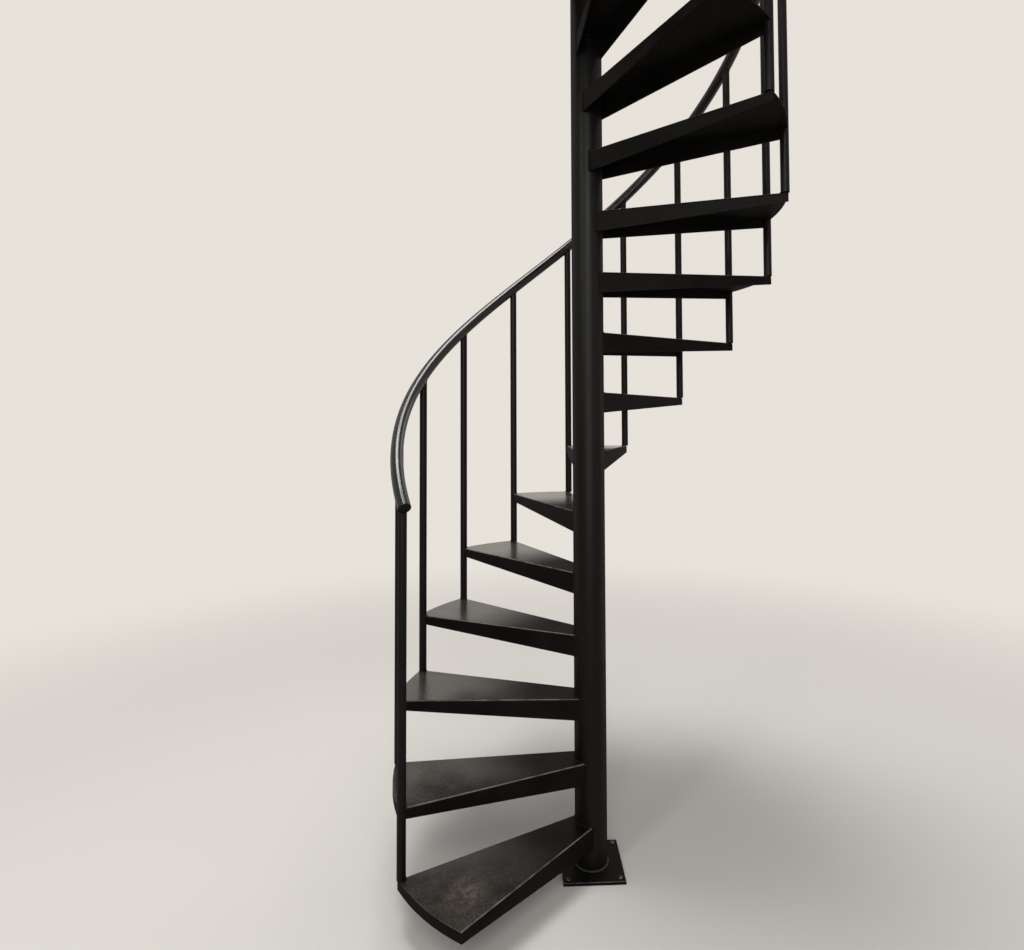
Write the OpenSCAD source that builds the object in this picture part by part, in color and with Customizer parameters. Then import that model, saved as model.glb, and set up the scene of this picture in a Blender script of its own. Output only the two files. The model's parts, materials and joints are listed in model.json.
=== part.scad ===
// Steel spiral staircase: folded pan treads welded to a round column,
// a post at every tread's back corner and one bent handrail that runs
// on as the guard of a small top landing. Millimetres, +Z up.
// The origin is the centre of the base plate's underside.

/* [Stair] */
// Radius of the treads' outer edge, from the column's axis
stair_r = 610; // [480:5:900]
// Number of treads below the landing
tread_count = 14; // [6:1:15]
// Direction of the first tread, counterclockwise from +X
first_angle = 215; // [180:0.5:240]
// Turn from one tread to the next, clockwise going up
step_angle = 22.5; // [20:0.5:27]
// Height of the first tread's top above the floor
first_rise = 142; // [110:1:200]
// Rise from one tread to the next
rise = 192; // [170:1:215]

/* [Column] */
// Outside diameter of the column
column_d = 101.6; // [76:0.1:140]
// Wall of the column
column_wall = 5.7; // [3:0.1:10]
// Height of the column's top above the guard rail's axis
column_over_rail = 70; // [40:1:150]
// Thickness of the plate that closes the column's top
cap_t = 6; // [3:0.5:12]
// How far the cap's crown stands above its rim
cap_crown = 7; // [3:0.5:20]
// Side of the square base plate
base_w = 190; // [175:1:300]
// Thickness of the base plate
base_t = 9.5; // [6:0.5:20]
// Bevel round the base plate's top
base_bevel = 1.5; // [0.5:0.5:3]
// Distance between the centres of the base plate's bolt holes
base_bolt_pitch = 158; // [140:1:160]
// Diameter of the base plate's bolt holes
base_hole_d = 11; // [8:0.5:14]

/* [Treads] */
// Width of a tread where it meets the column
tread_inner_w = 86; // [60:1:95]
// Width of a tread between its two outer corners
tread_outer_w = 250; // [244:1:280]
// Width of the lowest tread between its two outer corners
first_outer_w = 268; // [250:1:290]
// How far the lowest tread's front corner lies inside the circle of the others
first_setback = 44; // [0:1:60]
// Thickness of the treads' and the landing's sheet
sheet_t = 5; // [3:0.5:8]
// Outside radius of the folded long edges
bend_r = 6.5; // [5.5:0.5:10]
// Height of a tread's side flange at the column
flange_inner_h = 66; // [50:1:100]
// Height of a tread's side flange at its outer end
flange_outer_h = 28; // [20:1:45]
// Number of lowest treads whose outer end is closed by a curved strip
rim_count = 2; // [0:1:15]

/* [Posts and handrail] */
// Outside diameter of the posts
post_d = 25.4; // [24:0.1:34]
// Wall of the posts
post_wall = 2.6; // [1.5:0.1:4]
// How far the posts' axes lie inside the treads' outer edge
post_inset = 9; // [5:0.5:9]
// How far the posts' axes lie behind the next tread's front face
post_setback = 7; // [3:0.5:8]
// Outside diameter of the handrail
rail_d = 38.1; // [30:0.1:50]
// Height of the handrail's axis above the tread that its post stands on
rail_over_tread = 1030; // [850:5:1150]
// Length of handrail beyond the first post
rail_overrun = 27; // [20:1:80]
// Thickness of the plates that close the handrail's ends
rail_cap_t = 3; // [2:0.5:6]
// Length over which the rising handrail eases to level at the landing
ease_len = 120; // [60:5:160]

/* [Landing] */
// Length of the landing from the column's axis to the upper floor's edge
landing_len = 610; // [450:5:900]
// How far the landing's side edge lies in front of the column's axis
landing_side = 15; // [0:1:40]
// Height of the bars under the landing, with its sheet
landing_h = 40; // [34:1:44]
// Thickness of the plate that is bolted to the upper floor's edge
fixing_t = 8; // [5:0.5:15]
// Height of that plate
fixing_h = 70; // [66:1:90]
// Distance between its bolt holes along the floor's edge
fixing_pitch_y = 480; // [300:5:500]
// Distance between its bolt holes, up and down
fixing_pitch_z = 36; // [32:1:40]
// Diameter of its bolt holes
fixing_hole_d = 12; // [8:0.5:14]
// Number of posts on each guarded side of the landing
guard_posts = 3; // [2:1:5]

/* [Fit] */
// Gap at welded seats, filled by the weld
weld_gap = 0.2; // [0.1:0.05:0.5]
// Rounding of the sheet's cut edges
edge_r = 1.2; // [0.5:0.1:2]

/* [Hidden] */
$fn = 48;
rim_sides = 192;
column_r = column_d / 2;
post_r = post_d / 2;
rail_r = rail_d / 2;
seat_r = column_r + weld_gap;
over = 1;

function tread_angle(n) = first_angle - (n - 1) * step_angle;
function tread_top(n) = first_rise + (n - 1) * rise;

// A tread's corners in its own frame, X outward and +Y to the front
inner_x = sqrt(column_r * column_r - tread_inner_w * tread_inner_w / 4);
outer_x = sqrt(stair_r * stair_r - tread_outer_w * tread_outer_w / 4);
inner_corner = [inner_x, tread_inner_w / 2];
outer_corner = [outer_x, tread_outer_w / 2];
function edge_turn(corner) = atan2(corner[1] - inner_corner[1], corner[0] - inner_corner[0]);
flare = edge_turn(outer_corner);
edge_offset = inner_corner[1] * cos(flare) - inner_x * sin(flare);

// The lowest tread is wider and its front corner is set back, so the same
// outer curve has its centre beside the column's axis
first_back_turn = atan2(outer_corner[1], outer_corner[0]);
first_front_r = stair_r - first_setback;
first_turn = acos(
    (stair_r * stair_r + first_front_r * first_front_r - first_outer_w * first_outer_w)
    / (2 * stair_r * first_front_r));
first_corner = first_front_r * [
    cos(first_turn - first_back_turn),
    sin(first_turn - first_back_turn),
];
first_back = [outer_corner[0], -outer_corner[1]];
first_chord = first_corner - first_back;
first_sag = sqrt(stair_r * stair_r - first_outer_w * first_outer_w / 4);
first_centre = (first_corner + first_back) / 2
    + [-first_chord[1], first_chord[0]] / first_outer_w * first_sag;

// Each post stands on its tread's back corner and fills a notch that is cut
// out of the next tread's front corner
post_ring_r = stair_r - post_inset;
post_turn = flare + asin((edge_offset - post_setback) / post_ring_r);
notch_r = post_r + weld_gap;
function post_angle(n) = tread_angle(n + 1) + post_turn;

// Slope of the handrail's axis
step_arc = post_ring_r * step_angle * PI / 180;
rail_slope = atan2(rise, step_arc);
rail_seat_r = rail_r + weld_gap + 0.1;
rail_rise_per_degree = rise / step_angle;
function rail_z(angle) =
    tread_top(1) + rail_over_tread + (post_angle(1) - angle) * rail_rise_per_degree;

// The landing takes the place of the next tread
landing_angle = tread_angle(tread_count + 1);
landing_top = tread_top(tread_count + 1);
landing_y = -stair_r;
guard_y = -post_ring_r;
rail_end_angle = -90 - 360 * floor((-90 - landing_angle + 180) / 360);
ease_start_z = rail_z(rail_end_angle);
guard_z = ease_start_z + ease_len * tan(rail_slope) / 2;
column_top = guard_z + column_over_rail;
side_rail_y = -landing_side - post_r;

function turned(p, angle) =
    [p[0] * cos(angle) - p[1] * sin(angle), p[0] * sin(angle) + p[1] * cos(angle)];
nosing_in = turned(inner_corner, landing_angle);
nosing_dir = turned([1, 0], landing_angle + flare);
nosing_out = nosing_in + nosing_dir * (landing_y - nosing_in[1]) / nosing_dir[1];
side_in_x = -sqrt(column_r * column_r - landing_side * landing_side);
landing_outline = [
    nosing_out,
    nosing_in,
    [side_in_x, -landing_side],
    [-landing_len, -landing_side],
    [-landing_len, landing_y],
];

// Where the line through a and b meets the line through c and d
function cross2(a, b) = a[0] * b[1] - a[1] * b[0];
function meet(a, b, c, d) = a + (b - a) * cross2(c - a, d - c) / cross2(b - a, d - c);

// One edge of an outline moved inward, for corners that run counterclockwise
function unit(v) = v / norm(v);
function inward(p, i, t) =
    let (a = p[i], b = p[(i + 1) % len(p)], e = unit(b - a))
    [a + [-e[1], e[0]] * t, b + [-e[1], e[0]] * t];

// The handrail's path: a helix, then an ease to level along the landing
helix_start = post_angle(1) + rail_overrun * cos(rail_slope) / post_ring_r * 180 / PI;
helix_steps = ceil((helix_start - rail_end_angle) / 3.75);
ease_steps = 9;
rail_sides = 24;
function helix_frame(angle) = [
    [post_ring_r * cos(angle), post_ring_r * sin(angle), rail_z(angle)],
    [cos(angle), sin(angle), 0],
    [sin(angle) * cos(rail_slope), -cos(angle) * cos(rail_slope), sin(rail_slope)],
];
function ease_frame(s) =
    let (grade = tan(rail_slope) * (1 - s / ease_len), a = atan(grade))
    [
        [-s, guard_y, ease_start_z + tan(rail_slope) * (s - s * s / (2 * ease_len))],
        [0, -1, 0],
        [-cos(a), 0, sin(a)],
    ];
helix_turn = (helix_start - rail_end_angle) / helix_steps;
rail_path = concat(
    [for (i = [0:helix_steps]) helix_frame(helix_start - i * helix_turn)],
    [for (i = [1:ease_steps]) ease_frame(ease_len * i / ease_steps)]
);

function numbered(name, n) = str(name, "_", n < 10 ? "0" : "", n);

steel_black = "#1c1b1a";
tread_black = "#2b2927";

module base_plate() {
    color(steel_black)
    difference() {
        union() {
            translate([-base_w / 2, -base_w / 2, 0])
                cube([base_w, base_w, base_t - base_bevel]);
            translate([0, 0, base_t - base_bevel])
            linear_extrude(base_bevel, scale = 1 - 2 * base_bevel / base_w)
                square(base_w, center = true);
        }
        for (x = [-1, 1], y = [-1, 1])
            translate([x * base_bolt_pitch / 2, y * base_bolt_pitch / 2, -over])
                cylinder(d = base_hole_d, h = base_t + 2 * over);
    }
}

module column() {
    color(steel_black)
    translate([0, 0, base_t])
    difference() {
        cylinder(r = column_r, h = column_top - base_t);
        translate([0, 0, -over])
            cylinder(r = column_r - column_wall, h = column_top - base_t + 2 * over);
    }
}

// A closing plate whose top is a shallow dome
module column_cap() {
    dome_r = (column_r * column_r + cap_crown * cap_crown) / (2 * cap_crown);
    color(steel_black)
    translate([0, 0, column_top])
    intersection() {
        cylinder(r = column_r, h = cap_t + cap_crown);
        translate([0, 0, cap_t + cap_crown - dome_r])
            sphere(r = dome_r, $fn = 96);
    }
}

// The disc that a tread's outer edge is cut to, with its rounded rim
module tread_blank(height, centre) {
    difference() {
        translate([centre[0], centre[1], -height])
        rotate_extrude($fn = rim_sides)
        difference() {
            square([stair_r, height]);
            translate([stair_r - edge_r, height - edge_r])
            difference() {
                square(edge_r + over);
                circle(r = edge_r);
            }
        }
        translate([0, 0, -height - over])
            cylinder(r = seat_r, h = height + 2 * over);
    }
}

// Puts children on a tread's straight edge, with X along it from the column
module along_edge(corner) {
    turn = edge_turn(corner);
    translate([0, inner_corner[1] - inner_x * tan(turn), 0])
    rotate([0, 0, turn])
        children();
}

// One side flange: a bar along the edge whose lower side tapers outward
module tread_flange(corner) {
    turn = edge_turn(corner);
    start = inner_x / cos(turn);
    length = norm(corner - inner_corner);
    slope = (flange_inner_h - flange_outer_h) / length;
    along_edge(corner)
    rotate([90, 0, 0])
    linear_extrude(sheet_t)
        polygon([
            [0, 0],
            [start + length + sheet_t, 0],
            [start + length + sheet_t, -flange_outer_h + sheet_t * slope],
            [0, -flange_inner_h - start * slope],
        ]);
}

// What the fold takes off a sharp long edge
module tread_fold_cut(corner) {
    along_edge(corner)
    rotate([90, 0, 90])
    translate([-bend_r, -bend_r, 0])
    linear_extrude(2 * stair_r)
    difference() {
        square(bend_r + over);
        circle(r = bend_r);
    }
}

// What the fold adds in the corner under the sheet
module tread_fold_fill(corner) {
    inside_r = bend_r - sheet_t;
    along_edge(corner)
    rotate([90, 0, 90])
    translate([-bend_r, -bend_r, 0])
    linear_extrude(2 * stair_r)
    difference() {
        square(inside_r + sheet_t / 4);
        circle(r = inside_r);
    }
}

// The strip that closes a tread's outer end, between the two flanges
module tread_rim(front, centre) {
    back = [outer_corner[0], -outer_corner[1]] - centre;
    from = atan2(back[1], back[0]);
    to = atan2(front[1] - centre[1], front[0] - centre[0]);
    end_trim = sheet_t / 2 / stair_r * 180 / PI;
    translate([centre[0], centre[1], -flange_outer_h])
    rotate([0, 0, from + end_trim])
    rotate_extrude(angle = to - from - 2 * end_trim, $fn = rim_sides)
    translate([stair_r - sheet_t, 0])
        square([sheet_t + over, flange_outer_h - sheet_t / 2]);
}

// The notch in a tread's front corner, for the post of the tread below
module post_notch() {
    rotate([0, 0, post_turn])
    translate([post_ring_r, 0, -2 * flange_inner_h])
        cylinder(r = notch_r, h = 2 * flange_inner_h + over);
}

// A pan with its front and back corners, both given on the +Y side
module tread_pan(front, centre, rim) {
    reach = 2 * stair_r;
    function edge_y(corner, x) = inner_corner[1] + (x - inner_x) * tan(edge_turn(corner));
    difference() {
        intersection() {
            union() {
                translate([0, 0, -sheet_t])
                linear_extrude(sheet_t)
                    polygon([
                        [0, edge_y(front, 0)], [0, -edge_y(outer_corner, 0)],
                        [reach, -edge_y(outer_corner, reach)], [reach, edge_y(front, reach)],
                    ]);
                tread_flange(front);
                tread_fold_fill(front);
                mirror([0, 1, 0]) {
                    tread_flange(outer_corner);
                    tread_fold_fill(outer_corner);
                }
                if (rim)
                    tread_rim(front, centre);
            }
            tread_blank(2 * flange_inner_h, centre);
        }
        tread_fold_cut(front);
        mirror([0, 1, 0])
            tread_fold_cut(outer_corner);
    }
}

module tread(n) {
    color(tread_black)
    rotate([0, 0, tread_angle(n)])
    translate([0, 0, tread_top(n)])
        if (n == 1)
            tread_pan(first_corner, first_centre, rim_count > 0);
        else
            difference() {
                tread_pan(outer_corner, [0, 0], n <= rim_count);
                post_notch();
            }
}

// A tube of given length under a rail whose axis passes at the slope given
module rail_post(length, slope) {
    difference() {
        cylinder(r = post_r, h = length + rail_r);
        translate([0, 0, -over])
            cylinder(r = post_r - post_wall, h = length + rail_r + 2 * over);
        translate([0, 0, length])
        rotate([90 + slope, 0, 0])
            cylinder(r = rail_seat_r, h = 8 * post_r, center = true);
        translate([-2 * post_r, -2 * post_r, length])
            cube([4 * post_r, 4 * post_r, 4 * rail_r]);
    }
}

module post(n) {
    color(steel_black)
    rotate([0, 0, post_angle(n)])
    translate([post_ring_r, 0, tread_top(n)])
        rail_post(rail_over_tread, -rail_slope);
}

module handrail() {
    points = [
        for (f = rail_path, k = [0:rail_sides - 1])
            let (a = 360 * k / rail_sides, up = cross(f[2], f[1]))
            f[0] + rail_r * (cos(a) * f[1] + sin(a) * up)
    ];
    last = len(rail_path) - 1;
    walls = [
        for (i = [0:last - 1], k = [0:rail_sides - 1])
            let (m = (k + 1) % rail_sides, p = i * rail_sides, q = p + rail_sides)
            each [[p + k, p + m, q + m], [p + k, q + m, q + k]]
    ];
    ends = [
        [for (k = [0:rail_sides - 1]) rail_sides - 1 - k],
        [for (k = [0:rail_sides - 1]) last * rail_sides + k],
    ];
    color(steel_black)
        polyhedron(points = points, faces = concat(walls, ends), convexity = 10);
}

module handrail_end_cap() {
    color(steel_black)
    rotate([0, 0, helix_start])
    translate([post_ring_r, 0, rail_z(helix_start)])
    rotate([-90 - rail_slope, 0, 0])
    translate([0, 0, weld_gap])
        rounded_disc(rail_r, rail_cap_t);
}

// A flat disc whose far rim is rounded
module rounded_disc(r, t) {
    rotate_extrude()
    difference() {
        square([r, t]);
        translate([r - edge_r, t - edge_r])
        difference() {
            square(edge_r + over);
            circle(r = edge_r);
        }
    }
}

module column_hole(z, h) {
    translate([0, 0, z - over])
        cylinder(r = seat_r, h = h + 2 * over);
}

// What the column and the last tread's post take out of the landing
module landing_holes() {
    column_hole(landing_top - landing_h, landing_h);
    rotate([0, 0, landing_angle])
    translate([0, 0, landing_top])
        post_notch();
}

module landing_deck() {
    color(tread_black)
    difference() {
        translate([0, 0, landing_top - sheet_t])
        linear_extrude(sheet_t)
            polygon(landing_outline);
        landing_holes();
    }
}

// The bar under one edge of the landing, mitred at its corners
module landing_bar(i) {
    count = len(landing_outline);
    before = inward(landing_outline, (i + count - 1) % count, sheet_t);
    here = inward(landing_outline, i, sheet_t);
    after = inward(landing_outline, (i + 1) % count, sheet_t);
    a = landing_outline[i];
    b = landing_outline[(i + 1) % count];
    c = meet(here[0], here[1], after[0], after[1]);
    d = meet(here[0], here[1], before[0], before[1]);
    e = unit(b - a) * weld_gap / 2;
    bar_h = landing_h - sheet_t - weld_gap;
    color(steel_black)
    difference() {
        translate([0, 0, landing_top - landing_h])
        linear_extrude(bar_h)
            polygon([a + e, b - e, c - e, d + e]);
        landing_holes();
        floor_fixing_holes();
    }
}

// Bolt holes through the fixing plate and the bar that lies against it
module floor_fixing_holes() {
    mid_y = (landing_y - landing_side) / 2;
    mid_z = landing_top - fixing_h / 2;
    for (y = [-1, 1], z = [-1, 1])
        translate([-landing_len - 2 * fixing_t, mid_y + y * fixing_pitch_y / 2, mid_z + z * fixing_pitch_z / 2])
        rotate([0, 90, 0])
            cylinder(d = fixing_hole_d, h = 4 * fixing_t);
}

module floor_fixing_plate() {
    color(steel_black)
    difference() {
        translate([-landing_len - weld_gap - fixing_t, landing_y, landing_top - fixing_h])
            cube([fixing_t, -landing_side - landing_y, fixing_h]);
        floor_fixing_holes();
    }
}

// Posts of the guard, spaced evenly up to the floor's edge
module guard_row(y, x_from) {
    x_to = -landing_len + 2 * post_r;
    color(steel_black)
    for (k = [1:guard_posts])
        translate([x_from + (x_to - x_from) * k / guard_posts, y, landing_top])
        rotate([0, 0, 90])
            rail_post(guard_z - landing_top, 0);
}

module level_rail(y, x_from) {
    x_to = -landing_len;
    color(steel_black)
    translate([x_to, y, guard_z])
    rotate([0, 90, 0])
        cylinder(r = rail_r, h = x_from - x_to);
}

module landing_front_rail() {
    level_rail(guard_y, -ease_len - weld_gap);
}

module landing_side_rail() {
    difference() {
        level_rail(side_rail_y, 0);
        column_hole(guard_z - rail_r, 2 * rail_r);
    }
}

module landing_rail_caps() {
    color(steel_black)
    for (y = [guard_y, side_rail_y])
        translate([-landing_len - weld_gap, y, guard_z])
        rotate([0, -90, 0])
            rounded_disc(rail_r, rail_cap_t);
}

base_plate();
column();
column_cap();
for (n = [1:tread_count]) {
    tread(n);
    post(n);
}
handrail();
handrail_end_cap();
landing_deck();
landing_bar(0);  // landing_nosing_bar
landing_bar(2);  // landing_side_bar
landing_bar(3);  // landing_end_bar
landing_bar(4);  // landing_outer_bar
floor_fixing_plate();
guard_row(guard_y, 0);  // landing_front_posts
guard_row(side_rail_y, -column_r);  // landing_side_posts
landing_front_rail();
landing_side_rail();
landing_rail_caps();
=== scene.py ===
import bpy
import bmesh
import json
import math
from mathutils import Vector, Matrix


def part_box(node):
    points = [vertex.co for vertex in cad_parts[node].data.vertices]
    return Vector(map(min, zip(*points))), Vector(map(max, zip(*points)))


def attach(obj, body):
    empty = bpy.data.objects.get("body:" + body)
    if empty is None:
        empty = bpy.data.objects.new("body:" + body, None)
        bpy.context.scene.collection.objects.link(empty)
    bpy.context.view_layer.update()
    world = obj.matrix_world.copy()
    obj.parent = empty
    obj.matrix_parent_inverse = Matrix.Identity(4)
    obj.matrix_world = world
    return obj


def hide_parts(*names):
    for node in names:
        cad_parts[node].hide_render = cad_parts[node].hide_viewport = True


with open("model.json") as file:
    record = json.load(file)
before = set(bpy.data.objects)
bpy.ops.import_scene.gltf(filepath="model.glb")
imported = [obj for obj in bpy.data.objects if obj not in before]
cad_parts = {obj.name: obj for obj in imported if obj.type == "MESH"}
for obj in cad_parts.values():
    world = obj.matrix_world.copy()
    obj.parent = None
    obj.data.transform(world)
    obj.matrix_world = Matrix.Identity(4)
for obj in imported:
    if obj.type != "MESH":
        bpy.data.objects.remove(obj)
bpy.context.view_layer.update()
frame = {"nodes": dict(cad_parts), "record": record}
nodes = frame["nodes"]
scene = bpy.context.scene
print("frame loaded,", len(nodes), "steel parts")

# the stair's own rule, in metres and degrees, as the steelwork has it
stair = {
    "treads": 14,
    "stepAngle": 22.5,
    "firstAngle": 215.0,
    "rise": 0.192,
    "firstTop": 0.142,
    "outerRadius": 0.610,
    "columnRadius": 0.0508,
    "innerWidth": 0.086,
    "outerWidth": 0.250,
    "flangeOuter": 0.028,
    "sheet": 0.005,
    "postRadius": 0.0127,
    "railRadius": 0.01905,
    "railOverTread": 1.030,
    "easeLength": 0.120,
}


def middle(name):
    low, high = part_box(name)
    return (Vector(low) + Vector(high)) / 2


def numbered(kind, n):
    return "%s_%02d" % (kind, n)


def treadAngle(n):
    return math.radians(stair["firstAngle"] - (n - 1) * stair["stepAngle"])


def treadTop(n):
    return stair["firstTop"] + (n - 1) * stair["rise"]


postSpots = [middle(numbered("post", n + 1)) for n in range(stair["treads"])]
ringRadius = postSpots[0].xy.length
postTurn = math.atan2(postSpots[0].y, postSpots[0].x)
if postTurn < 0:
    postTurn += 2 * math.pi
risePerRadian = stair["rise"] / math.radians(stair["stepAngle"])
railSlope = math.atan2(stair["rise"], ringRadius * math.radians(stair["stepAngle"]))


def railHeight(angle):
    return stair["firstTop"] + stair["railOverTread"] + (postTurn - angle) * risePerRadian


# the photograph's own view
cameraPlace = {
    "location": (-0.2372, -1.9878, 1.3831),
    "turn": 0.0417,      # to the right of +Y, in radians
    "pitch": 0.0320,
    "roll": 0.0040,
    "focalPixels": 619.08,
    "centre": (540.43, 404.53),
    "image": (1024, 950),
    "sensor": 36,        # millimetres
    "clip": (0.05, 200),
}


def addCamera(place):
    turn, pitch, roll = place["turn"], place["pitch"], place["roll"]
    ahead = Vector((math.sin(turn), math.cos(turn), 0))
    right = Vector((math.cos(turn), -math.sin(turn), 0))
    up = Vector((0, 0, 1))
    look = ahead * math.cos(pitch) + up * math.sin(pitch)
    top = up * math.cos(pitch) - ahead * math.sin(pitch)
    side = right * math.cos(roll) - top * math.sin(roll)
    top = right * math.sin(roll) + top * math.cos(roll)
    data = bpy.data.cameras.new("camera")
    width, height = place["image"]
    data.sensor_width = place["sensor"]
    data.lens = place["focalPixels"] / width * data.sensor_width
    data.shift_x = (width / 2 - place["centre"][0]) / width
    data.shift_y = (place["centre"][1] - height / 2) / width
    data.clip_start, data.clip_end = place["clip"]
    camera = bpy.data.objects.new("camera", data)
    scene.collection.objects.link(camera)
    facing = Matrix((side, top, -look)).transposed().to_4x4()
    camera.matrix_world = Matrix.Translation(place["location"]) @ facing
    scene.camera = camera


addCamera(cameraPlace)

# a plain pale studio
studio = {
    "backdrop": (0.80, 0.76, 0.70),
    "ambient": (0.97, 0.98, 1.0),
    "ambientStrength": 0.30,
    "floor": (0.62, 0.59, 0.55),
    "floorRadius": 40.0,
    "floorFade": (1.0, 4.5),      # where the floor passes into the backdrop, from the column
    # name, place, aim, width, height, watts, how wide it shines in degrees
    "lamps": [
        ("frontSoftbox", (-0.20, -3.40, 1.75), (0, 0, 1.45), 2.6, 2.5, 24, 110),
        ("highPanel", (-0.12, -2.60, 2.95), (0, 0, 2.10), 1.3, 0.7, 26, 180),
        ("leftPanel", (-2.1, -2.2, 3.2), (0.3, 0, 2.3), 0.6, 1.7, 24, 180),
        ("fillLamp", (2.9, -2.2, 2.2), (0, 0, 1.6), 0.5, 3.0, 6, 180),
        ("topLamp", (-0.5, -0.1, 5.4), (0, 0, 2.0), 2.0, 2.0, 225, 180),
        ("backLamp", (2.2, 2.6, 3.6), (0, 0, 1.8), 1.0, 1.6, 14, 180),
    ],
}


def node(tree, kind, **settings):
    made = tree.nodes.new(kind)
    for key, value in settings.items():
        setattr(made, key, value)
    return made


def reckon(tree, operation, *values, clamp=False):
    # one sum on numbers or on other nodes' outputs
    made = node(tree, "ShaderNodeMath", operation=operation, use_clamp=clamp)
    for value, socket in zip(values, made.inputs):
        if isinstance(value, (int, float)):
            socket.default_value = value
        else:
            tree.links.new(value, socket)
    return made.outputs[0]


def times(tree, first, *others):
    for other in others:
        first = reckon(tree, "MULTIPLY", first, other)
    return first


def sightOfBackdrop(tree):
    # one for rays that see the backdrop itself, nought for light that falls on things
    path = node(tree, "ShaderNodeLightPath")
    seen = reckon(tree, "MAXIMUM", path.outputs["Is Camera Ray"], path.outputs["Is Glossy Ray"])
    return reckon(tree, "MAXIMUM", seen, path.outputs["Is Transmission Ray"])


def mixShaders(tree, amount, first, second, outputKind):
    mix = node(tree, "ShaderNodeMixShader")
    out = node(tree, outputKind)
    for k, value in enumerate((amount, first, second)):
        tree.links.new(value, mix.inputs[k])
    tree.links.new(mix.outputs[0], out.inputs["Surface"])


def addWorld(setup):
    world = bpy.data.worlds.new("studio")
    scene.world = world
    world.use_nodes = True
    tree = world.node_tree
    tree.nodes.clear()
    seen = node(tree, "ShaderNodeBackground")
    seen.inputs["Color"].default_value = (*setup["backdrop"], 1)
    lit = node(tree, "ShaderNodeBackground")
    lit.inputs["Color"].default_value = (*setup["ambient"], 1)
    lit.inputs["Strength"].default_value = setup["ambientStrength"]
    mixShaders(tree, sightOfBackdrop(tree), lit.outputs[0], seen.outputs[0], "ShaderNodeOutputWorld")


def addFloor(setup):
    mesh = bpy.data.meshes.new("studioFloor")
    shape = bmesh.new()
    bmesh.ops.create_circle(shape, cap_ends=True, segments=96, radius=setup["floorRadius"])
    shape.to_mesh(mesh)
    shape.free()
    floor = bpy.data.objects.new("studioFloor", mesh)
    scene.collection.objects.link(floor)
    finish = bpy.data.materials.new("studioFloor")
    finish.use_nodes = True
    tree = finish.node_tree
    tree.nodes.clear()
    place = node(tree, "ShaderNodeTexCoord")
    fromColumn = node(tree, "ShaderNodeVectorMath", operation="LENGTH")
    tree.links.new(place.outputs["Object"], fromColumn.inputs[0])
    fade = node(tree, "ShaderNodeMapRange", interpolation_type="SMOOTHSTEP")
    tree.links.new(fromColumn.outputs["Value"], fade.inputs["Value"])
    fade.inputs["From Min"].default_value, fade.inputs["From Max"].default_value = setup["floorFade"]
    matt = node(tree, "ShaderNodeBsdfDiffuse")
    matt.inputs["Color"].default_value = (*setup["floor"], 1)
    glow = node(tree, "ShaderNodeEmission")
    glow.inputs["Color"].default_value = (*setup["backdrop"], 1)
    far = times(tree, fade.outputs[0], sightOfBackdrop(tree))
    mixShaders(tree, far, matt.outputs[0], glow.outputs[0], "ShaderNodeOutputMaterial")
    mesh.materials.append(finish)


def addLamps(setup):
    for name, place, aim, width, height, watts, spread in setup["lamps"]:
        data = bpy.data.lights.new(name, "AREA")
        data.shape, data.size, data.size_y = "RECTANGLE", width, height
        data.energy, data.spread = watts, math.radians(spread)
        lamp = bpy.data.objects.new(name, data)
        lamp.location, lamp.visible_camera = place, False
        lamp.rotation_euler = (Vector(aim) - Vector(place)).to_track_quat("-Z", "Y").to_euler()
        scene.collection.objects.link(lamp)


addWorld(studio)
addFloor(studio)
addLamps(studio)
scene.view_settings.view_transform = "Standard"
print("camera, floor and lamps placed")


# paint on steel: what differs between the parts
paints = {
    "columnPaint": {
        "black": (0.0032, 0.0029, 0.0026), "faded": (0.0052, 0.0047, 0.0043),
        "gloss": (0.32, 0.38), "specular": 0.10, "peel": 0.05, "peelSize": 260,
        "streak": (9, 9, 1.2), "dustAndShade": 0.0, "grain": 0.0, "polish": 0.0, "edgeDull": 0.5,
    },
    "treadPaint": {
        "black": (0.0030, 0.0027, 0.0023), "faded": (0.0058, 0.0050, 0.0043),
        "gloss": (0.36, 0.44), "specular": 0.03, "peel": 0.08, "peelSize": 420,
        "streak": (7, 7, 7), "dustAndShade": 0.55, "grain": 0.22, "polish": 0.95, "edgeDull": 0.3,
    },
    "postPaint": {
        "black": (0.0042, 0.0038, 0.0034), "faded": (0.0062, 0.0057, 0.0052),
        "gloss": (0.26, 0.32), "specular": 0.08, "peel": 0.012, "peelSize": 300,
        "streak": (12, 12, 3), "dustAndShade": 0.0, "grain": 0.0, "polish": 0.0, "edgeDull": 0.5,
    },
    "railPaint": {
        "black": (0.0026, 0.0020, 0.0016), "faded": (0.0046, 0.0036, 0.0029),
        "gloss": (0.15, 0.20), "specular": 0.33, "peel": 0.001, "peelSize": 300,
        "streak": (6, 6, 6), "dustAndShade": 0.0, "grain": 0.0, "polish": 0.0, "edgeDull": 0.25,
    },
    "platePaint": {
        "black": (0.0030, 0.0027, 0.0023), "faded": (0.0055, 0.0049, 0.0043),
        "gloss": (0.38, 0.46), "specular": 0.04, "peel": 0.08, "peelSize": 300,
        "streak": (9, 9, 9), "dustAndShade": 0.10, "grain": 0.10, "polish": 0.15, "edgeDull": 0.3,
    },
    "weldPaint": {
        "black": (0.0100, 0.0090, 0.0082), "faded": (0.0160, 0.0145, 0.0130),
        "gloss": (0.26, 0.34), "specular": 0.30, "peel": 0.05, "peelSize": 900,
        "streak": (40, 40, 40), "dustAndShade": 0.0, "grain": 0.0, "polish": 0.0, "edgeDull": 0.0,
    },
}

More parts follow.
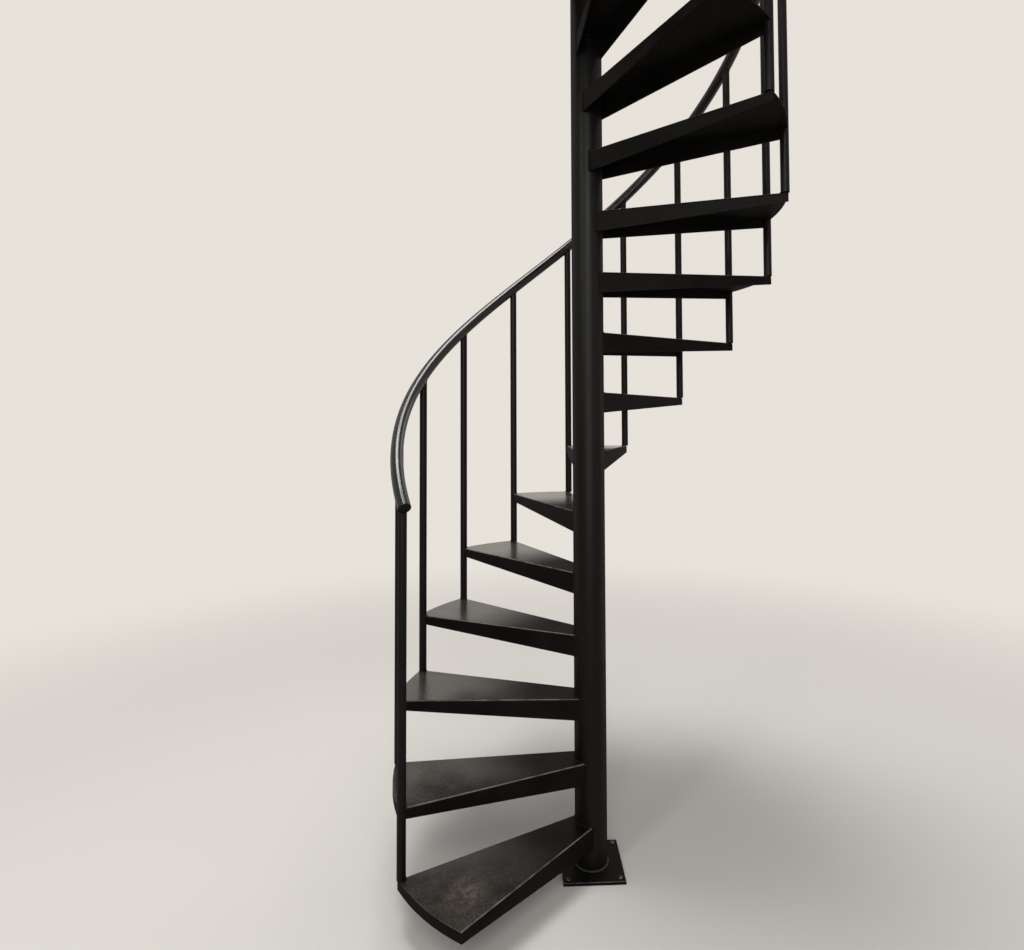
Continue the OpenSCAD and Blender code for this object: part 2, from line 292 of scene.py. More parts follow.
# what all the paints share; a noise is its size, detail and roughness
wear = {
    "cloud": (1.0, 5.0, 0.6),                  # unevenness of the coat
    "fading": (0.36, 0.68), "glossLevels": (0.30, 0.70),
    "rubbedNoise": (38, 6.0, 0.7), "rubbed": (0.30, 0.72), "rubbedRough": 0.07,
    "seenAlong": (0.30, 0.92),                 # from seen squarely to seen along the face
    "peelNoise": 2.0, "peelDepth": 0.001,
    "gritNoise": (900, 1.0), "gritDepth": 0.0006,
    "dustColour": (0.165, 0.140, 0.120),
    "dustRough": 0.5,
    "upward": (0.90, 0.985),                   # the normal's height on faces that catch dust
    "reach": (0.16, 0.46, 0.06, 1.0),          # from the column outwards: dust and polish where feet carry it, kept low near the column as painted shade under the tread above
    "filmNoise": (9, 5.0, 0.60), "film": (0.36, 0.66, 0.22, 0.80),
    "mottleNoise": (150, 3.0, 0.60), "mottle": (0.34, 0.66, 0.45, 1.0),
    "speckNoise": (620, 2.0, 0.5), "speck": (0.40, 0.70, 0.55, 1.0),
    "polishRough": 0.24,
    # a pale colour on the front folds: partly rubbed paint, partly a painted highlight of the bend
    "foldWearAndHighlightColour": (0.150, 0.137, 0.124),
    "foldStart": (0.60, 0.80), "foldEnd": (0.93, 0.985, 1.0, 0.0),     # the same height on the folds
    "wearAndHighlightNoise": (24, 4.0, 0.6), "wearAndHighlight": (0.30, 0.60, 0.25, 0.9),
}
# a pale patch that shoes have left on the lowest tread
scuff = {
    "place": (-0.372, -0.299, 0.142), "radius": 0.075, "strength": 0.55,
    "noise": (34, 4.0, 0.6), "levels": (0.40, 0.62, 0.15, 1.0),
}


def noise(tree, place, scale, detail=3.0, rough=0.55):
    made = node(tree, "ShaderNodeTexNoise")
    tree.links.new(place, made.inputs["Vector"])
    made.inputs["Scale"].default_value = scale
    made.inputs["Detail"].default_value = detail
    made.inputs["Roughness"].default_value = rough
    return made.outputs["Fac"]


def ramp(tree, value, low, high, start=0.0, end=1.0):
    made = node(tree, "ShaderNodeMapRange", interpolation_type="SMOOTHSTEP")
    tree.links.new(value, made.inputs["Value"])
    for key, number in (("From Min", low), ("From Max", high), ("To Min", start), ("To Max", end)):
        made.inputs[key].default_value = number
    return made.outputs[0]


def blendColour(tree, amount, a, b):
    made = node(tree, "ShaderNodeMix", data_type="RGBA")
    tree.links.new(amount, made.inputs["Factor"])
    for value, name in ((a, "A"), (b, "B")):
        socket = [i for i in made.inputs if i.name == name and i.type == "RGBA"][0]
        if isinstance(value, tuple):
            socket.default_value = (*value, 1)
        else:
            tree.links.new(value, socket)
    return [o for o in made.outputs if o.type == "RGBA"][0]


def dustWithPaintedShade(tree, place, upward, reach, amount):
    # dust lies in a broken film with specks in it, and thickest in the scuff; it thins towards the column,
    # which paints shade there
    film = ramp(tree, noise(tree, place, *wear["filmNoise"]), *wear["film"])
    mottle = ramp(tree, noise(tree, place, *wear["mottleNoise"]), *wear["mottle"])
    speck = ramp(tree, noise(tree, place, *wear["speckNoise"]), *wear["speck"])
    dustAndShade = times(tree, times(tree, upward, reach, film), times(tree, mottle, speck, amount))
    away = node(tree, "ShaderNodeVectorMath", operation="DISTANCE")
    tree.links.new(place, away.inputs[0])
    away.inputs[1].default_value = scuff["place"]
    patch = ramp(tree, away.outputs["Value"], 0.0, scuff["radius"], scuff["strength"], 0.0)
    patch = times(tree, patch, ramp(tree, noise(tree, place, *scuff["noise"]), *scuff["levels"]))
    return reckon(tree, "ADD", dustAndShade, times(tree, patch, upward), clamp=True)


def treadWearAndPaintedLight(tree, coat, place, look, colour, gloss):
    # dust, polish and pale folds on what feet tread; the dust thins near the column as painted shade, and the
    # pale folds are partly a painted highlight
    facing = node(tree, "ShaderNodeNewGeometry")
    split = node(tree, "ShaderNodeSeparateXYZ")
    tree.links.new(facing.outputs["Normal"], split.inputs[0])
    upward = ramp(tree, split.outputs["Z"], *wear["upward"])
    level = node(tree, "ShaderNodeVectorMath", operation="MULTIPLY")
    tree.links.new(place, level.inputs[0])
    level.inputs[1].default_value = (1, 1, 0)
    fromColumn = node(tree, "ShaderNodeVectorMath", operation="LENGTH")
    tree.links.new(level.outputs[0], fromColumn.inputs[0])
    # low near the column: partly where feet carry dust, partly painted shade under the tread above
    reach = ramp(tree, fromColumn.outputs["Value"], *wear["reach"])
    dustAndShade = dustWithPaintedShade(tree, place, upward, reach, look["dustAndShade"])
    colour = blendColour(tree, dustAndShade, colour, wear["dustColour"])
    gloss = reckon(tree, "MULTIPLY_ADD", dustAndShade, wear["dustRough"], gloss)
    # shoe soles keep the upper faces polished
    tree.links.new(times(tree, upward, reach, look["polish"]), coat.inputs["Coat Weight"])
    coat.inputs["Coat Roughness"].default_value = wear["polishRough"]
    # the folds, the only slanting faces, take a paler colour: partly paint rubbed thin, partly a painted
    # highlight along the rounded bend
    fold = times(tree, ramp(tree, split.outputs["Z"], *wear["foldStart"]),
                 ramp(tree, split.outputs["Z"], *wear["foldEnd"]))
    wearAndHighlight = ramp(tree, noise(tree, place, *wear["wearAndHighlightNoise"]), *wear["wearAndHighlight"])
    return blendColour(tree, times(tree, fold, wearAndHighlight), colour, wear["foldWearAndHighlightColour"]), gloss


def bumps(tree, height, strength, depth, under=None):
    made = node(tree, "ShaderNodeBump")
    made.inputs["Strength"].default_value = strength
    made.inputs["Distance"].default_value = depth
    tree.links.new(height, made.inputs["Height"])
    if under is not None:
        tree.links.new(under, made.inputs["Normal"])
    return made.outputs[0]


def makePaint(name, look):
    finish = bpy.data.materials.new(name)
    finish.use_nodes = True
    tree = finish.node_tree
    tree.nodes.clear()
    out = node(tree, "ShaderNodeOutputMaterial")
    coat = node(tree, "ShaderNodeBsdfPrincipled")
    tree.links.new(coat.outputs[0], out.inputs["Surface"])
    place = node(tree, "ShaderNodeTexCoord").outputs["Object"]
    stretched = node(tree, "ShaderNodeMapping")
    tree.links.new(place, stretched.inputs["Vector"])
    stretched.inputs["Scale"].default_value = look["streak"]

    # broad unevenness of the coat, then fading
    cloud = noise(tree, stretched.outputs[0], *wear["cloud"])
    colour = blendColour(tree, ramp(tree, cloud, *wear["fading"]), look["black"], look["faded"])
    rubbed = ramp(tree, noise(tree, place, *wear["rubbedNoise"]), *wear["rubbed"])
    gloss = ramp(tree, cloud, *wear["glossLevels"], *look["gloss"])
    if look["dustAndShade"]:
        colour, gloss = treadWearAndPaintedLight(tree, coat, place, look, colour, gloss)
    gloss = reckon(tree, "MULTIPLY_ADD", rubbed, wear["rubbedRough"], gloss)
    # satin paint goes dull where it is seen along its face
    turning = node(tree, "ShaderNodeLayerWeight")
    dull = ramp(tree, turning.outputs["Facing"], *wear["seenAlong"], 0.0, look["edgeDull"])
    tree.links.new(colour, coat.inputs["Base Color"])
    tree.links.new(reckon(tree, "ADD", dull, gloss), coat.inputs["Roughness"])
    coat.inputs["Specular IOR Level"].default_value = look["specular"]

    # orange peel of the sprayed coat, and grit under it
    peel = noise(tree, place, look["peelSize"], wear["peelNoise"])
    peel = bumps(tree, peel, look["peel"], wear["peelDepth"])
    if look["grain"]:
        grit = noise(tree, place, *wear["gritNoise"])
        peel = bumps(tree, grit, look["grain"], wear["gritDepth"], peel)
    tree.links.new(peel, coat.inputs["Normal"])
    return finish


finishes = {name: makePaint(name, look) for name, look in paints.items()}

boltSteel = {
    "bright": (0.110, 0.104, 0.096),
    "shade": 0.55,               # how much of it the darker patches keep
    "rough": (0.24, 0.44),
    "cloud": (140, 4.0), "levels": (0.3, 0.7),
}


def makeBareSteel(name, look):
    finish = bpy.data.materials.new(name)
    finish.use_nodes = True
    tree = finish.node_tree
    coat = tree.nodes["Principled BSDF"]
    place = node(tree, "ShaderNodeTexCoord").outputs["Object"]
    cloud = noise(tree, place, *look["cloud"])
    shaded = tuple(c * look["shade"] for c in look["bright"])
    colour = blendColour(tree, ramp(tree, cloud, *look["levels"]), look["bright"], shaded)
    tree.links.new(colour, coat.inputs["Base Color"])
    tree.links.new(ramp(tree, cloud, *look["levels"], *look["rough"]), coat.inputs["Roughness"])
    coat.inputs["Metallic"].default_value = 1.0
    return finish


finishes["boltSteel"] = makeBareSteel("boltSteel", boltSteel)


def paintFor(name):
    if name.startswith("tread") or name == "landing_deck":
        return "treadPaint"
    if "rail" in name:
        return "railPaint"
    if name.startswith("post") or name.endswith("posts"):
        return "postPaint"
    if name.startswith("base") or "bar" in name or "fixing" in name:
        return "platePaint"
    return "columnPaint"


for name, part in nodes.items():
    finish = finishes[paintFor(name)]
    if not part.material_slots:
        part.data.materials.append(finish)
    for spot in part.material_slots:
        spot.material = finish
print("paint on", len(nodes), "parts")


# a tree whose inputs are named sizes, and what puts it on a piece
def newTree(name, sizes):
    tree = bpy.data.node_groups.new(name, "GeometryNodeTree")
    tree.interface.new_socket("Geometry", in_out="INPUT", socket_type="NodeSocketGeometry")
    for key, kind in sizes.items():
        tree.interface.new_socket(key, in_out="INPUT", socket_type="NodeSocket" + kind)
    tree.interface.new_socket("Geometry", in_out="OUTPUT", socket_type="NodeSocketGeometry")
    return tree, tree.nodes.new("NodeGroupInput"), tree.nodes.new("NodeGroupOutput")


def endTree(tree, given, result, shape):
    # real faces in their finish
    real = node(tree, "GeometryNodeRealizeInstances")
    coat = node(tree, "GeometryNodeSetMaterial")
    tree.links.new(shape, real.inputs[0])
    tree.links.new(real.outputs[0], coat.inputs["Geometry"])
    tree.links.new(given.outputs["Finish"], coat.inputs["Material"])
    tree.links.new(coat.outputs[0], result.inputs[0])
    return tree


def chance(tree, given, least, most):
    # a number for each instance, drawn with the tree's seed
    vary = node(tree, "FunctionNodeRandomValue", data_type="FLOAT")
    low, high = [i for i in vary.inputs if i.name in ("Min", "Max") and i.type == "VALUE"]
    low.default_value, high.default_value = least, most
    tree.links.new(given.outputs["Seed"], vary.inputs["Seed"])
    return [o for o in vary.outputs if o.type == "VALUE"][0]


def grown(source, name, tree, sizes):
    growth = source.modifiers.new("growth", "NODES")
    growth.node_group = tree
    for item in tree.interface.items_tree:
        if item.in_out == "INPUT" and item.name in sizes:
            growth[item.identifier] = sizes[item.name]
    bpy.context.view_layer.update()
    graph = bpy.context.evaluated_depsgraph_get()
    mesh = bpy.data.meshes.new_from_object(source.evaluated_get(graph), depsgraph=graph)
    mesh.name = name
    piece = bpy.data.objects.new(name, mesh)
    scene.collection.objects.link(piece)
    bpy.data.objects.remove(source)
    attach(piece, "root")
    return piece


def pathCurve(name, paths, closed=False):
    curve = bpy.data.curves.new(name, "CURVE")
    curve.dimensions = "3D"
    for path in paths:
        strand = curve.splines.new("POLY")
        strand.points.add(len(path) - 1)
        for point, spot in zip(strand.points, path):
            point.co = (*spot, 1)
        strand.use_cyclic_u = closed
    item = bpy.data.objects.new(name, curve)
    scene.collection.objects.link(item)
    return item


# the handrail: a round tube swept along the helix, then easing to level
railShape = {
    "sides": 56, "degreesPerRing": 1.5, "easeRings": 14, "overrun": 0.027,
    "helixEnd": -90.0,      # degrees: in front of the column
}


def railPath(shape):
    start = postTurn + shape["overrun"] * math.cos(railSlope) / ringRadius
    end = math.radians(shape["helixEnd"])
    steps = round(math.degrees(start - end) / shape["degreesPerRing"])
    path = []
    for i in range(steps + 1):
        angle = start + (end - start) * i / steps
        path.append((ringRadius * math.cos(angle), ringRadius * math.sin(angle), railHeight(angle)))
    length, grade, base = stair["easeLength"], math.tan(railSlope), railHeight(end)
    for i in range(1, shape["easeRings"] + 1):
        s = length * i / shape["easeRings"]
        path.append((-s, -ringRadius, base + grade * (s - s * s / (2 * length))))
    return path


def tubeTree():
    tree, given, result = newTree("sweptTube", {"Radius": "Float", "Sides": "Int", "Finish": "Material"})
    hoop = node(tree, "GeometryNodeCurvePrimitiveCircle")
    sweep = node(tree, "GeometryNodeCurveToMesh")
    smooth = node(tree, "GeometryNodeSetShadeSmooth")
    tree.links.new(given.outputs["Radius"], hoop.inputs["Radius"])
    tree.links.new(given.outputs["Sides"], hoop.inputs["Resolution"])
    tree.links.new(given.outputs["Geometry"], sweep.inputs["Curve"])
    tree.links.new(hoop.outputs["Curve"], sweep.inputs["Profile Curve"])
    sweep.inputs["Fill Caps"].default_value = True
    tree.links.new(sweep.outputs[0], smooth.inputs["Geometry"])
    return endTree(tree, given, result, smooth.outputs[0])


railLine = railPath(railShape)
railSizes = {"Radius": stair["railRadius"], "Sides": railShape["sides"], "Finish": finishes["railPaint"]}
rail = grown(pathCurve("railLine", [railLine]), "handrailTube", tubeTree(), railSizes)
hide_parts("handrail")
print("handrail swept along", len(railLine), "rings")

# weld beads: overlapping ripples laid along each seam
welds = {
    # width of the bead, and distance between its ripples
    "columnFoot": (0.0085, 0.0034),
    "treadSeams": (0.0052, 0.0030),
    "postFeet": (0.0040, 0.0026),
    "railSeats": (0.0036, 0.0024),
    "railJoints": (0.0030, 0.0022),
    "landingSeams": (0.0050, 0.0032),
    "ripple": (8, 5),             # sides and rings of one ripple
    "lap": 0.95,                  # half its length, in distances between ripples
    "unevenness": (0.86, 1.12),
    "seed": 7,
}
# level rounds of weld: how far the bead's middle stands off the steel, out and up, and its steps
rounds = {
    "columnFoot": (0.0008, 0.0008, 96),
    "columnCap": (-0.0006, 0.0, 96),
    "postFoot": (0.0006, 0.0002, 72),
    "postNotch": (0.0003, -0.0002, 72),
    "guardFoot": (0.0006, 0.0002, 48),
    "treadCope": (0.0005, -0.0006, 24),
    "deckCope": (0.0005, -0.0006, 48),
}


def beadTree():
    sizes = {"Width": "Float", "Pitch": "Float", "Seed": "Int", "Finish": "Material"}
    tree, given, result = newTree("weldBead", sizes)
    spots = node(tree, "GeometryNodeCurveToPoints", mode="LENGTH")
    ripple = node(tree, "GeometryNodeMeshUVSphere")
    ripple.inputs["Segments"].default_value, ripple.inputs["Rings"].default_value = welds["ripple"]
    ripple.inputs["Radius"].default_value = 1.0
    size = node(tree, "ShaderNodeCombineXYZ")
    half = times(tree, given.outputs["Width"], 0.5)
    for k, value in enumerate((half, half, times(tree, given.outputs["Pitch"], welds["lap"]))):
        tree.links.new(value, size.inputs[k])
    scaled = node(tree, "ShaderNodeVectorMath", operation="SCALE")
    tree.links.new(size.outputs[0], scaled.inputs[0])
    tree.links.new(chance(tree, given, *welds["unevenness"]), scaled.inputs["Scale"])
    lay = node(tree, "GeometryNodeInstanceOnPoints")
    smooth = node(tree, "GeometryNodeSetShadeSmooth")
    tree.links.new(given.outputs["Geometry"], spots.inputs["Curve"])
    tree.links.new(given.outputs["Pitch"], spots.inputs["Length"])
    tree.links.new(spots.outputs["Points"], lay.inputs["Points"])
    tree.links.new(spots.outputs["Rotation"], lay.inputs["Rotation"])
    tree.links.new(ripple.outputs["Mesh"], lay.inputs["Instance"])
    tree.links.new(scaled.outputs[0], lay.inputs["Scale"])
    tree.links.new(lay.outputs[0], smooth.inputs["Geometry"])
    return endTree(tree, given, result, smooth.outputs[0])


beads = beadTree()


def layBead(name, kind, paths, closed=False, paint="columnPaint"):
    width, pitch = welds[kind]
    sizes = {"Width": width, "Pitch": pitch, "Seed": welds["seed"], "Finish": finishes[paint]}
    return grown(pathCurve(name + "Line", paths, closed), name, beads, sizes)


def levelArc(kind, centre, radius, height, start, end):
    out, up, steps = rounds[kind]
    turns = [start + (end - start) * i / steps for i in range(steps + 1)]
    r, z = radius + out, height + up
    return [(centre[0] + r * math.cos(t), centre[1] + r * math.sin(t), z) for t in turns]


def levelRing(kind, centre, radius, height):
    return levelArc(kind, centre, radius, height, 0, 2 * math.pi)[:-1]


def downright(x, y, top, length, steps):
    # a straight run of weld down a corner
    return [(x, y, top - length * i / steps) for i in range(steps + 1)]


def turned(u, v, angle):
    return u * math.cos(angle) - v * math.sin(angle), u * math.sin(angle) + v * math.cos(angle)


columnR = stair["columnRadius"]
halfInner = stair["innerWidth"] / 2
innerX = math.sqrt(columnR ** 2 - halfInner ** 2)
seamTurn = math.atan2(halfInner, innerX)
outerX = math.sqrt(stair["outerRadius"] ** 2 - stair["outerWidth"] ** 2 / 4)
flare = math.atan2(stair["outerWidth"] / 2 - halfInner, outerX - innerX)

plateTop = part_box("base_plate")[1][2]
layBead("columnFootWeld", "columnFoot", [levelRing("columnFoot", (0, 0), columnR, plateTop)],
        True, "weldPaint")

# where each tread's cope meets the column
treadSeam = {
    "out": 0.0004, "aside": 0.0006,            # outside a flange
    "below": 0.004, "length": 0.0586,
    "inside": 1.2,                             # inside a flange, in sheet thicknesses round the column
    "insideBelow": 0.009, "insideLength": 0.052,
    "under": 0.88,                             # how much of the cope is welded from below
    "steps": 6,
}


def treadSeams(seam):
    paths = []
    for n in range(1, stair["treads"] + 1):
        angle, top = treadAngle(n), treadTop(n)
        for side in (-1, 1):
            x, y = turned(innerX + seam["out"], side * (halfInner + seam["aside"]), angle)
            paths.append(downright(x, y, top - seam["below"], seam["length"], seam["steps"]))
            turn = seamTurn * side - side * stair["sheet"] / columnR * seam["inside"]
            x, y = turned(columnR * math.cos(turn), columnR * math.sin(turn), angle)
            paths.append(downright(x, y, top - seam["insideBelow"], seam["insideLength"], seam["steps"]))
        for share, height in ((1, top), (seam["under"], top - stair["sheet"])):
            reach = seamTurn * share
            paths.append(levelArc("treadCope", (0, 0), columnR, height, angle - reach, angle + reach))
    return paths


layBead("treadWelds", "treadSeams", treadSeams(treadSeam))

# where a post stands on its tread, and where it fills the notch in the next one
postSeam = {
    "fromSide": 0.0012, "fromRim": 0.0015,     # how far a bead stays in from the tread's outline
    "least": 6, "leastInNotch": 4,             # points in a run that is long enough to weld
    "below": 0.005, "length": 0.021, "out": 0.0002, "steps": 4,
}


def onTread(x, y, n):
    # inside the outline of tread n, a little in from its edges
    u, v = turned(x, y, -treadAngle(n))
    side = halfInner + (u - innerX) * math.tan(flare) - postSeam["fromSide"]
    return abs(v) < side and math.hypot(u, v) < stair["outerRadius"] - postSeam["fromRim"]


def stretches(ring, inside, least):
    # the stretches of a closed ring of points that lie inside, as open paths
    start = next((k for k, point in enumerate(ring) if not inside(point)), None)
    if start is None:
        return [ring + ring[:1]]
    paths, run = [], []
    for point in ring[start:] + ring[:start + 1]:
        if inside(point):
            run.append(point)
        else:
            if len(run) > least:
                paths.append(run)
            run = []
    return paths


def postFeet(seam):
    paths = []
    for n, spot in enumerate(postSpots, 1):
        ring = levelRing("postFoot", spot, stair["postRadius"], treadTop(n))
        paths += stretches(ring, lambda point: onTread(point[0], point[1], n), seam["least"])
    return paths


def postNotches(seam):
    paths = []
    along = Vector((math.cos(flare), math.sin(flare)))
    out = Vector((-along.y, along.x))
    corner = Vector((innerX, halfInner))
    for n, spot in enumerate(postSpots[:-1], 2):
        angle, top = treadAngle(n), treadTop(n)
        ring = levelRing("postNotch", spot, stair["postRadius"], top)
        paths += stretches(ring, lambda point: onTread(point[0], point[1], n), seam["leastInNotch"])
        # down the flange, on the side of the post that faces the column
        local = Vector(turned(spot[0], spot[1], -angle)) - corner
        depth = local.dot(out)
        reach = local.dot(along) - math.sqrt(max(stair["postRadius"] ** 2 - depth ** 2, 0))
        foot = corner + along * reach + out * seam["out"]
        x, y = turned(foot.x, foot.y, angle)
        paths.append(downright(x, y, top - seam["below"], seam["length"], seam["steps"]))
    return paths


layBead("postFootWelds", "postFeet", postFeet(postSeam) + postNotches(postSeam))

# where rails rest on the posts' tops
railSeat = {"off": 0.0002, "steps": 40}


def saddle(spot, centreZ, along, seat=railSeat):
    # round the top of an upright post, where it meets a level or sloping rail
    radius = stair["railRadius"] + seat["off"]
    points = []
    for i in range(seat["steps"]):
        turn = 2 * math.pi * i / seat["steps"]
        v = Vector((math.cos(turn), math.sin(turn), 0)) * stair["postRadius"]
        tz, slip = along.z, v.dot(along)
        a, b, c = 1 - tz * tz, -2 * tz * slip, v.length_squared - slip * slip - radius * radius
        height = (-b - math.sqrt(b * b - 4 * a * c)) / (2 * a)
        points.append((spot[0] + v.x, spot[1] + v.y, centreZ + height))
    return points


def railSeats():
    paths = []
    for n, spot in enumerate(postSpots, 1):
        angle = math.atan2(spot[1], spot[0])
        level, climb = math.cos(railSlope), math.sin(railSlope)
        along = Vector((math.sin(angle) * level, -math.cos(angle) * level, climb))
        paths.append(saddle(spot, treadTop(n) + stair["railOverTread"], along))
    return paths


layBead("railSeatWelds", "railSeats", railSeats(), True)


def ringAbout(centre, axis, radius, count=48):
    # a ring of weld round a rail that runs along the axis
    out = axis.orthogonal().normalized()
    across = axis.normalized().cross(out)
    return [Vector(centre) + (out * math.cos(t) + across * math.sin(t)) * radius
            for t in (2 * math.pi * i / count for i in range(count))]


# the landing's seams, from the boxes of its parts
landingSeam = {
    "stitch": 0.050, "stitchPitch": 0.130,     # length of a weld under the deck, and from one to the next
    "off": 0.0004,
    "fromColumn": 0.012,
    "aboveFoot": 0.003, "ends": 0.004, "steps": 6,
    "copeStart": 0.30,                         # radians past the -X side of the column
    "jointSink": 0.0012,                       # rings at the rails' ends lie a little inside the tube
    "mouthOut": 0.0003, "mouthOff": 0.0004,    # where the side rail meets the column
}
deckLow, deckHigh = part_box("landing_deck")
frontRailLow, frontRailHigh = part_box("landing_front_rail")
sideRailLow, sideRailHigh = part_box("landing_side_rail")
guardHeight = middle("landing_front_rail").z
levelAxis = Vector((1, 0, 0))


def guardPosts(name):
    low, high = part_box(name)
    first, last = high[0] - stair["postRadius"], low[0] + stair["postRadius"]
    y = (low[1] + high[1]) / 2
    return [(x, y) for x in (first, (first + last) / 2, last)]


guardSpots = guardPosts("landing_front_posts") + guardPosts("landing_side_posts")


def stitched(a, b, seam):
    a, b = Vector(a), Vector(b)
    length, pitch = seam["stitch"], seam["stitchPitch"]
    count = int((b - a).length / pitch)
    step = (b - a).normalized()
    lead = ((b - a).length - (count - 1) * pitch - length) / 2
    return [[a + step * (lead + k * pitch), a + step * (lead + k * pitch + length)] for k in range(count)]


def landingSeams(seam):
    under = deckLow[2] - seam["off"]
    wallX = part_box("landing_end_bar")[1][0]
    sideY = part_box("landing_side_bar")[0][1]
    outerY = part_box("landing_outer_bar")[1][1]
    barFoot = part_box("landing_end_bar")[0][2]
    nearX = -columnR - seam["fromColumn"]
    paths = stitched((wallX, outerY, under), (wallX, sideY, under), seam)
    paths += stitched((wallX, sideY, under), (nearX, sideY, under), seam)
    paths += stitched((wallX, outerY, under), (nearX, outerY, under), seam)
    climb = under - barFoot - seam["ends"]
    for y in (outerY, sideY):
        paths.append(downright(wallX, y, barFoot + seam["aboveFoot"], -climb, seam["steps"]))
    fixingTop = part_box("floor_fixing_plate")[1][2] - seam["off"]
    edgeX = wallX - stair["sheet"] - seam["off"]
    paths.append([(edgeX, y, fixingTop) for y in (deckLow[1] + seam["ends"], deckHigh[1] - seam["ends"])])
    nosing = treadAngle(stair["treads"] + 1) + seamTurn
    start = -math.pi + seam["copeStart"]
    paths.append(levelArc("deckCope", (0, 0), columnR, deckHigh[2], start, nosing))
    return paths


layBead("landingWelds", "landingSeams", landingSeams(landingSeam))


def guardSeams():
    paths = []
    for spot in guardSpots:
        paths.append(levelRing("guardFoot", spot, stair["postRadius"], deckHigh[2]))
        paths.append(saddle(spot, guardHeight, levelAxis))
    return paths


layBead("guardPostWelds", "postFeet", guardSeams(), True)


def railJoints(seam):
    radius = stair["railRadius"] - seam["jointSink"]
    guardY = (frontRailLow[1] + frontRailHigh[1]) / 2
    sideY = (sideRailLow[1] + sideRailHigh[1]) / 2
    start, after = Vector(railLine[0]), Vector(railLine[1])
    rings = [ringAbout(start, after - start, radius)]
    for x, y in ((frontRailHigh[0], guardY), (frontRailLow[0], guardY), (frontRailLow[0], sideY)):
        rings.append(ringAbout((x, y, guardHeight), levelAxis, radius))
    mouth = []
    for point in ringAbout((0, sideY, guardHeight), levelAxis, stair["railRadius"] + seam["mouthOut"]):
        mouth.append((-math.sqrt(columnR ** 2 - point.y ** 2) - seam["mouthOff"], point.y, point.z))
    return rings + [mouth]


layBead("railJointWelds", "railJoints", railJoints(landingSeam), True)
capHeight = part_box("column_cap")[0][2]
layBead("columnCapWeld", "railJoints", [levelRing("columnCap", (0, 0), columnR, capHeight)],
        True)

# where the curved strips of the two lowest treads meet their flanges
rimSeam = {"in": 0.0012, "aside": 0.0008, "below": 0.006, "shorter": 0.008, "steps": 5}


def rimCorners(seam):
    # the lowest tread's front corner is set back, off this outline, so only its back corner has one
    paths = []
    halfOuter = stair["outerWidth"] / 2
    for n, sides in ((1, (-halfOuter,)), (2, (-halfOuter, halfOuter))):
        for v in sides:
            x, y = turned(outerX - seam["in"], v - math.copysign(seam["aside"], v), treadAngle(n))
            length = stair["flangeOuter"] - seam["shorter"]
            paths.append(downright(x, y, treadTop(n) - seam["below"], length, seam["steps"]))
    return paths


layBead("rimWelds", "postFeet", rimCorners(rimSeam))
print("weld beads laid")


# screws in the base plate and bolts through the landing's end
boltShapes = {
    # sides, then the radius and height of each edge, from the tip of the shank to the middle of the head
    "screw": [(24, [(0, -0.0090), (0.0052, -0.0090), (0.0052, 0.0001), (0.0068, 0.0001),
                    (0.0070, 0.0006), (0.0065, 0.0020), (0.0050, 0.0033), (0.0034, 0.0038),
                    (0.0028, 0.0037), (0.0026, 0.0018), (0, 0.0016)])],
    "washer": (24, [(0, 0.0001), (0.0096, 0.0001), (0.0100, 0.0005),
                    (0.0100, 0.0016), (0.0096, 0.0020), (0, 0.0020)]),
    "head": (6, [(0, 0.0019), (0.0093, 0.0019), (0.0098, 0.0026),
                 (0.0098, 0.0076), (0.0088, 0.0084), (0, 0.0084)]),
    "shankSides": 16,
    "shankRadius": 0.0050,
    "shankTop": 0.0005,
    "shankShort": 0.0004,      # it ends this far inside the outer face
    "seed": 11,
}


def lathe(shape, sides, profile):
    # a closed turned form: the ends of the profile lie on its axis
    rings = []
    for radius, height in profile:
        if radius == 0:
            rings.append([shape.verts.new((0, 0, height))])
        else:
            rings.append([shape.verts.new((radius * math.cos(t), radius * math.sin(t), height))
                          for t in (2 * math.pi * k / sides for k in range(sides))])
    for lower, upper in zip(rings, rings[1:]):
        for k in range(sides):
            m = (k + 1) % sides
            corners = [lower[k % len(lower)], lower[m % len(lower)],
                       upper[m % len(upper)], upper[k % len(upper)]]
            shape.faces.new(list(dict.fromkeys(corners)))


def boltPattern(name, parts):
    mesh = bpy.data.meshes.new(name)
    shape = bmesh.new()
    for sides, profile in parts:
        lathe(shape, sides, profile)
    bmesh.ops.recalc_face_normals(shape, faces=shape.faces[:])
    shape.to_mesh(mesh)
    shape.free()
    return bpy.data.objects.new(name, mesh)


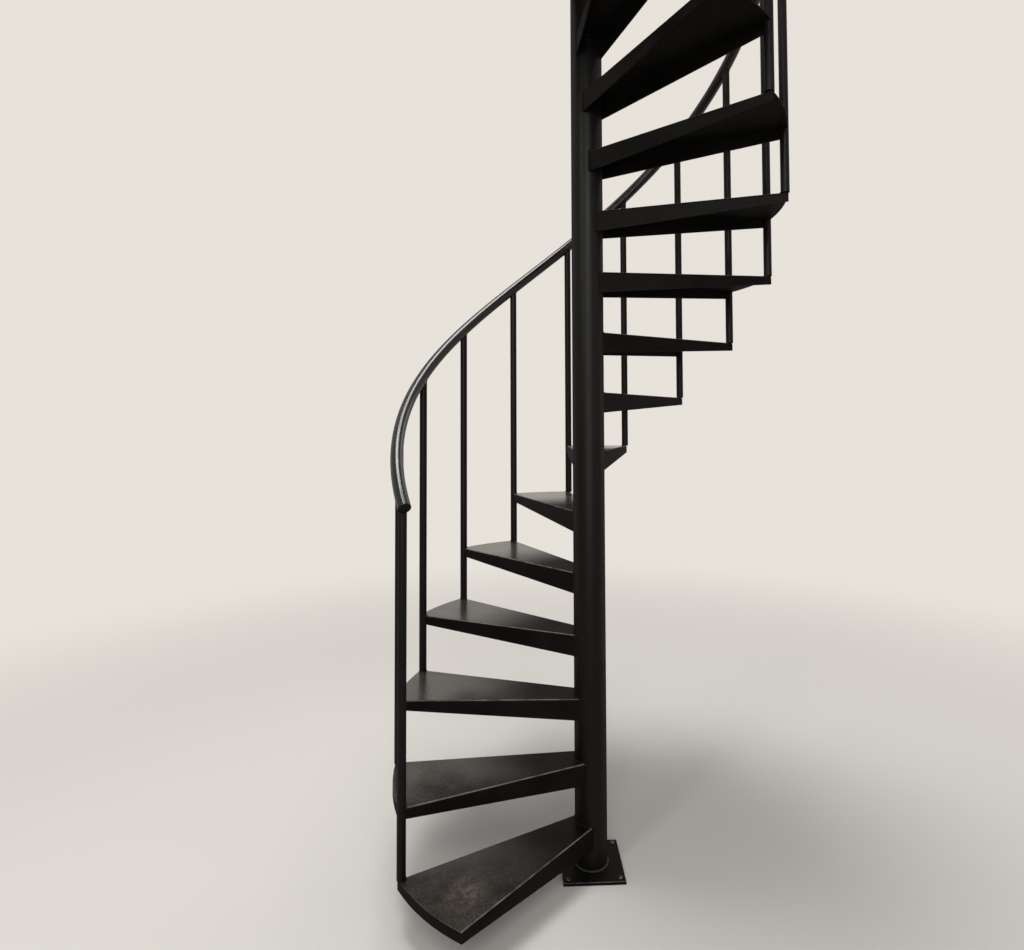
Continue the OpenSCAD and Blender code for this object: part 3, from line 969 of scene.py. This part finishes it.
def boltTree():
    sizes = {"Axis": "Vector", "Bolt": "Object", "Seed": "Int", "Finish": "Material"}
    tree, given, result = newTree("boltRow", sizes)
    aim = node(tree, "FunctionNodeAlignRotationToVector", axis="Z")
    tree.links.new(given.outputs["Axis"], aim.inputs["Vector"])
    pattern = node(tree, "GeometryNodeObjectInfo")
    tree.links.new(given.outputs["Bolt"], pattern.inputs["Object"])
    lay = node(tree, "GeometryNodeInstanceOnPoints")
    tree.links.new(given.outputs["Geometry"], lay.inputs["Points"])
    tree.links.new(pattern.outputs["Geometry"], lay.inputs["Instance"])
    tree.links.new(aim.outputs["Rotation"], lay.inputs["Rotation"])
    # each is tightened to a turn of its own
    about = node(tree, "ShaderNodeCombineXYZ")
    tree.links.new(chance(tree, given, 0.0, 2 * math.pi), about.inputs["Z"])
    spin = node(tree, "FunctionNodeEulerToRotation")
    tree.links.new(about.outputs[0], spin.inputs[0])
    tighten = node(tree, "GeometryNodeRotateInstances")
    tighten.inputs["Local Space"].default_value = True
    tree.links.new(lay.outputs[0], tighten.inputs["Instances"])
    tree.links.new(spin.outputs[0], tighten.inputs["Rotation"])
    return endTree(tree, given, result, tighten.outputs[0])


boltRow = boltTree()


def setBolts(name, spots, axis, parts):
    mesh = bpy.data.meshes.new(name + "Spots")
    mesh.from_pydata(spots, [], [])
    source = bpy.data.objects.new(name + "Spots", mesh)
    pattern = boltPattern(name + "Pattern", parts)
    for item in (source, pattern):
        scene.collection.objects.link(item)
    sizes = {"Axis": axis, "Bolt": pattern, "Seed": boltShapes["seed"], "Finish": finishes["boltSteel"]}
    grown(source, name, boltRow, sizes)
    bpy.data.objects.remove(pattern)


def placesOf(mount):
    # the four bolt centres of a mount in the record
    face = [m for m in frame["record"]["mounts"] if m["name"] == mount][0]
    centre, axis = Vector(face["pos_m"]), Vector(face["axis"])
    across, along = ((1, 0, 0), (0, 1, 0)) if abs(axis.z) > 0.5 else ((0, 1, 0), (0, 0, 1))
    halfX, halfY = face["dims"]["spacing_x_mm"] / 2000, face["dims"]["spacing_y_mm"] / 2000     # metres
    return [centre + Vector(across) * halfX * a + Vector(along) * halfY * b for a in (-1, 1) for b in (-1, 1)]


setBolts("baseScrews", [(p.x, p.y, plateTop) for p in placesOf("base_bolts")], (0, 0, 1), boltShapes["screw"])
fixingOut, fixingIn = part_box("floor_fixing_plate")[0][0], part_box("floor_fixing_plate")[1][0]
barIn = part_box("landing_end_bar")[1][0]
landingHoles = placesOf("landing_bolts")
holesMiddle = sum(p.z for p in landingHoles) / len(landingHoles)
for name, face, above in (("upperLandingBolts", barIn, True), ("lowerLandingBolts", fixingIn, False)):
    # the upper pair passes through the bar and the plate, the lower pair through the plate alone
    spots = [(face, p.y, p.z) for p in landingHoles if (p.z > holesMiddle) == above]
    tip, top = fixingOut - face + boltShapes["shankShort"], boltShapes["shankTop"]
    thick = boltShapes["shankRadius"]
    shank = (boltShapes["shankSides"], [(0, tip), (thick, tip), (thick, top), (0, top)])
    setBolts(name, spots, (1, 0, 0), [boltShapes["washer"], boltShapes["head"], shank])
print("screws and bolts set")
